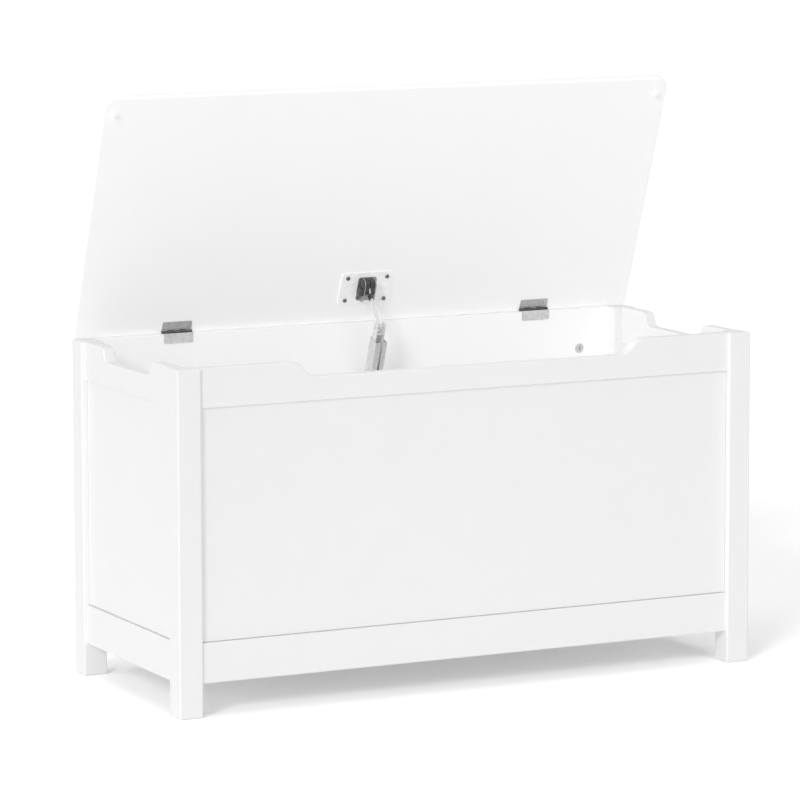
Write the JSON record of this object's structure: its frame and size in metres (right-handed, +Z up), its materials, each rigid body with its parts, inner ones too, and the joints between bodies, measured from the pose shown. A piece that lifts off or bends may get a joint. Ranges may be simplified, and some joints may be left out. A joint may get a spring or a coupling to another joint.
{
  "type": "storage bench",
  "caption": "Low rectangular storage bench on four square legs, with framed panels, finger scoops, and a hinged flat lid propped open by a spring stay.",
  "frame": {"origin": "On the floor, below the middle of the four legs", "axes": "+X along the bench to its right as seen from the front, +Y to the back, +Z up"},
  "size_m": [0.92, 0.3906, 0.8554],
  "materials": {
    "white_lacquer": "satin white lacquer on smooth board",
    "white_board": "matte white-faced board",
    "beech": "matte fluted beech",
    "cam_zinc": "satin die-cast zinc",
    "bright_steel": "satin zinc plate",
    "hinge_zinc": "satin zinc plate",
    "white_plate": "gloss white enamel",
    "dark_screw": "satin dark zinc plate",
    "black_nylon": "matte",
    "grey_enamel": "satin light grey enamel",
    "spring_steel": "satin drawn wire",
    "galvanised": "satin galvanised sheet",
    "clear_bumper": "satin translucent soft plastic"
  },
  "bodies": {
    "root": {"leg_front_left": "white_lacquer", "leg_rear_left": "white_lacquer", "leg_front_right": "white_lacquer", "leg_rear_right": "white_lacquer", "left_top_rail": "white_lacquer", "left_bottom_rail": "white_lacquer", "left_panel": "white_lacquer", "right_top_rail": "white_lacquer", "right_bottom_rail": "white_lacquer", "right_panel": "white_lacquer", "front_top_rail": "white_lacquer", "front_bottom_rail": "white_lacquer", "front_panel": "white_lacquer", "back_board": "white_lacquer", "bottom_board": "white_board", "dowels": "beech", "cam_locks": "cam_zinc", "cam_bolts": "bright_steel", "batten_screws": "bright_steel", "batten_front": "white_board", "batten_back": "white_board", "batten_left": "white_board", "batten_right": "white_board", "hinge_body_leaf_left": "hinge_zinc", "hinge_pin_left": "bright_steel", "hinge_body_leaf_right": "hinge_zinc", "hinge_pin_right": "bright_steel", "hinge_body_screws": "bright_steel", "stay_spring": "spring_steel", "stay_spring_foot": "black_nylon", "stay_housing": "galvanised", "stay_wall_bracket": "galvanised", "stay_housing_rivets": "bright_steel", "stay_wall_screws": "dark_screw"},
    "lid": {"lid": "white_lacquer", "hinge_lid_leaf_left": "hinge_zinc", "hinge_lid_leaf_right": "hinge_zinc", "hinge_lid_screws": "bright_steel", "lid_bumpers": "clear_bumper", "stay_lid_plate": "white_plate", "stay_lid_bracket": "bright_steel", "stay_lid_screws": "dark_screw", "stay_bracket_rivets": "dark_screw", "stay_lid_pin": "bright_steel", "stay_friction_pads": "black_nylon", "stay_ear_cap": "black_nylon"},
    "arm": {"stay_arm": "grey_enamel", "stay_arm_sleeve": "black_nylon"},
    "yoke": {"stay_yoke": "grey_enamel", "stay_yoke_studs": "bright_steel"}
  },
  "joints": [
    {"name": "lid_hinge", "type": "hinge", "parent": "root", "child": "lid", "pos_m": [0, 0.181, 0.4945], "axis": [-1, 0, 0], "range_deg": [-70, 0]},
    {"name": "arm_pivot", "type": "hinge", "parent": "lid", "child": "arm", "pos_m": [0.004, 0.15617, 0.5408], "axis": [-1, 0, 0], "range_deg": [0, 22.13]},
    {"name": "yoke_slide", "type": "slide", "parent": "root", "child": "yoke", "axis": [0, -0.3256, 0.9455], "range_m": [-0.07064, 0], "deforming": ["stay_spring"]}
  ],
  "couplings": [
    {"joint": "arm_pivot", "follows": "lid_hinge", "ratio": -0.30903},
    {"joint": "yoke_slide", "follows": "lid_hinge", "m_per_rad": 0.057411}
  ]
}
